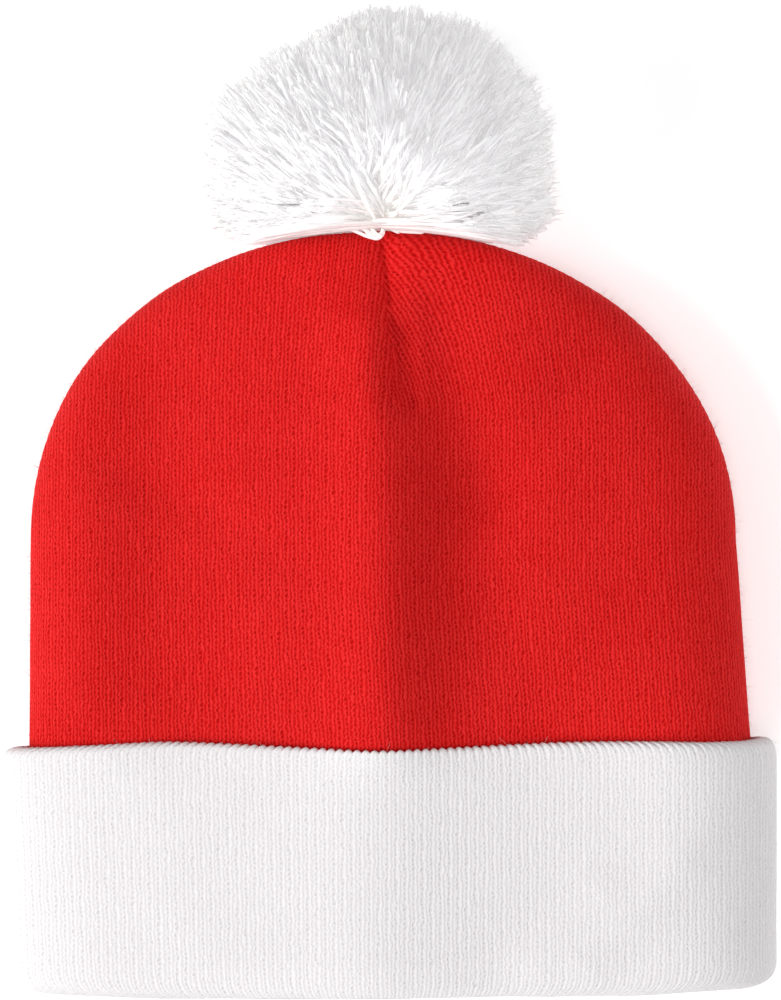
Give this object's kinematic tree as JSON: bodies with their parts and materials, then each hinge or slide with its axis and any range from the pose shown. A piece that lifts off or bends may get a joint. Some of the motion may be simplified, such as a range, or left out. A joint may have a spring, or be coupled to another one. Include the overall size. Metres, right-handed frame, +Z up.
{
  "type": "knitted santa beanie hat",
  "caption": "Knitted santa beanie lying flat on its back: domed red crown with soft folds, folded white cuff, and a round white yarn pompom tied to its top.",
  "frame": {"origin": "middle of the hat's bounding box, at its underside on the floor", "axes": "+Y runs from the hat's mouth to its pompom, +X across the hat to the right as seen from above, +Z up out of the front face"},
  "size_m": [0.2194, 0.2812, 0.0842],
  "materials": {
    "red_knit": "matte stocking-stitch knit",
    "white_knit": "matte stocking-stitch knit",
    "white_yarn": "matte cut yarn",
    "tie_yarn": "matte yarn"
  },
  "bodies": {
    "root": {"crown": "red_knit", "cuff": "white_knit", "pompom": "white_yarn", "pompom_tie": "tie_yarn"}
  },
  "joints": []
}
